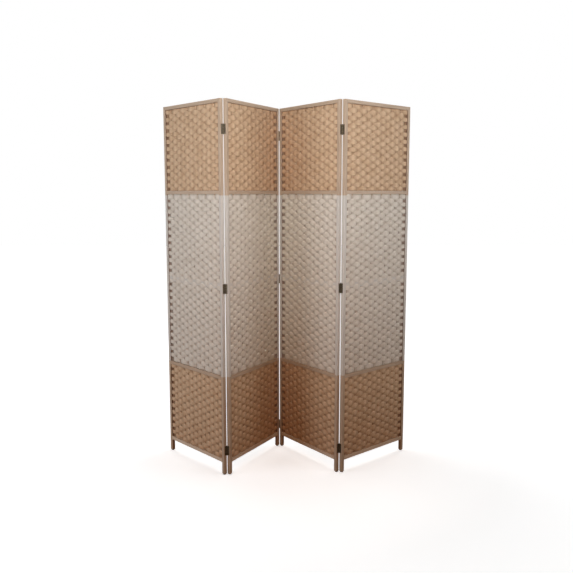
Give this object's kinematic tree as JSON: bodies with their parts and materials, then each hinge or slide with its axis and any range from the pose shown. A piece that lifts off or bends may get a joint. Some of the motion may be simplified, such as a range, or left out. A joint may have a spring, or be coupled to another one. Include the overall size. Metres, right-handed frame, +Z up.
{
  "type": "folding screen",
  "caption": "Free-standing zigzag folding screen: slim wooden panels hinged in a row, each filled with woven paper rope in three bands, natural, ivory and natural.",
  "frame": {"origin": "middle of the footprint of the screen as pictured, on the floor", "axes": "+Z up along the stiles; the fronts of the panels face -Y; +X runs from the first panel to the last"},
  "size_m": [1.1786, 0.3956, 1.7],
  "materials": {
    "frame_wood": "satin",
    "natural_weave": "matte",
    "ivory_weave": "matte",
    "stake_wood": "matte",
    "hinge_bronze": "satin",
    "glide_plastic": "matte"
  },
  "bodies": {
    "panel_1": {"panel_1_left_stile": "frame_wood", "panel_1_right_stile": "frame_wood", "panel_1_top_rail": "frame_wood", "panel_1_cross_rails": "frame_wood", "panel_1_middle_slat": "frame_wood", "panel_1_bottom_rail": "frame_wood", "panel_1_upper_weave": "natural_weave", "panel_1_middle_weave": "ivory_weave", "panel_1_lower_weave": "natural_weave", "panel_1_stakes": "stake_wood", "panel_1_glides": "glide_plastic", "panel_1_hinge_screws": "hinge_bronze", "fold_1_left_leaves": "hinge_bronze", "fold_1_pins": "hinge_bronze"},
    "panel_2": {"panel_2_left_stile": "frame_wood", "panel_2_right_stile": "frame_wood", "panel_2_top_rail": "frame_wood", "panel_2_cross_rails": "frame_wood", "panel_2_middle_slat": "frame_wood", "panel_2_bottom_rail": "frame_wood", "panel_2_upper_weave": "natural_weave", "panel_2_middle_weave": "ivory_weave", "panel_2_lower_weave": "natural_weave", "panel_2_stakes": "stake_wood", "panel_2_glides": "glide_plastic", "panel_2_hinge_screws": "hinge_bronze", "fold_1_right_leaves": "hinge_bronze", "fold_2_left_leaves": "hinge_bronze", "fold_2_pins": "hinge_bronze"},
    "panel_3": {"panel_3_left_stile": "frame_wood", "panel_3_right_stile": "frame_wood", "panel_3_top_rail": "frame_wood", "panel_3_cross_rails": "frame_wood", "panel_3_middle_slat": "frame_wood", "panel_3_bottom_rail": "frame_wood", "panel_3_upper_weave": "natural_weave", "panel_3_middle_weave": "ivory_weave", "panel_3_lower_weave": "natural_weave", "panel_3_stakes": "stake_wood", "panel_3_glides": "glide_plastic", "panel_3_hinge_screws": "hinge_bronze", "fold_2_right_leaves": "hinge_bronze", "fold_3_left_leaves": "hinge_bronze", "fold_3_pins": "hinge_bronze"},
    "panel_4": {"panel_4_left_stile": "frame_wood", "panel_4_right_stile": "frame_wood", "panel_4_top_rail": "frame_wood", "panel_4_cross_rails": "frame_wood", "panel_4_middle_slat": "frame_wood", "panel_4_bottom_rail": "frame_wood", "panel_4_upper_weave": "natural_weave", "panel_4_middle_weave": "ivory_weave", "panel_4_lower_weave": "natural_weave", "panel_4_stakes": "stake_wood", "panel_4_glides": "glide_plastic", "panel_4_hinge_screws": "hinge_bronze", "fold_3_right_leaves": "hinge_bronze"}
  },
  "joints": [
    {"name": "fold_1", "type": "hinge", "parent": "panel_2", "child": "panel_1", "pos_m": [-0.27581, -0.18793, 0.868], "axis": [0, 0, 1], "range_deg": [-72.9, 107.1]},
    {"name": "fold_2", "type": "hinge", "parent": "panel_2", "child": "panel_3", "pos_m": [-0.03684, 0.18926, 0.868], "axis": [0, 0, 1], "range_deg": [-67.1, 112.9]},
    {"name": "fold_3", "type": "hinge", "parent": "panel_3", "child": "panel_4", "pos_m": [0.2445, -0.15747, 0.868], "axis": [0, 0, -1], "range_deg": [-85.6, 94.4]}
  ]
}
